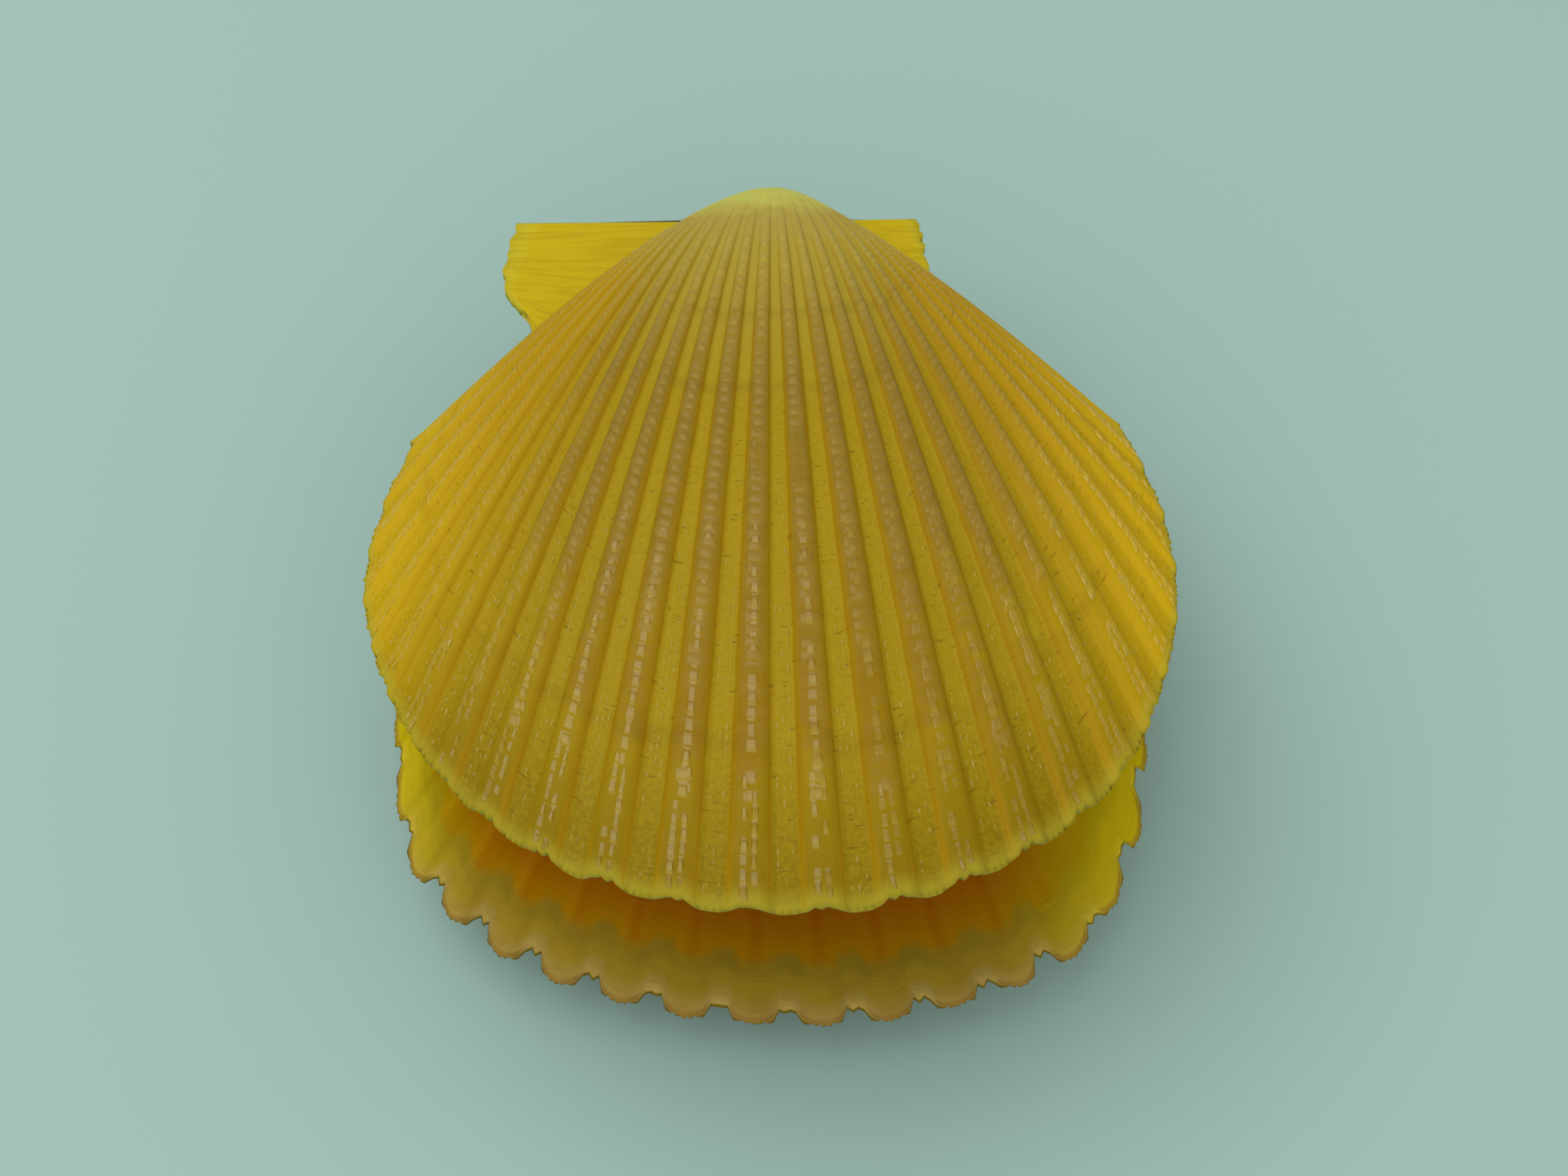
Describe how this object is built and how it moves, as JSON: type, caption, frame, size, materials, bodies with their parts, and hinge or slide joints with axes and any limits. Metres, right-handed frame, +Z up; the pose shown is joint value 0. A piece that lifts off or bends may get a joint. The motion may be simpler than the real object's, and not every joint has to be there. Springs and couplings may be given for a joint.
{
  "type": "scallop shell",
  "caption": "Gaping scallop shell of two fan-ribbed valves with unequal ears, joined at the hinge and resting on the lower valve's flat spot.",
  "frame": {"origin": "on the surface that the shell rests on, under the middle of the whole", "axes": "+Z up, +Y from the open margin towards the hinge, +X along the hinge line towards the small ear"},
  "size_m": [0.0598, 0.0662, 0.0329],
  "materials": {
    "golden_shell": "satin calcite shell, golden yellow with mauve-brown ribs",
    "tan_shell": "satin calcite shell, tan outside and golden inside",
    "dried_ligament": "dried dark brown ligament"
  },
  "bodies": {
    "root": {"upper_valve": "golden_shell", "lower_valve": "tan_shell", "hinge_ligament": "dried_ligament"}
  },
  "joints": []
}
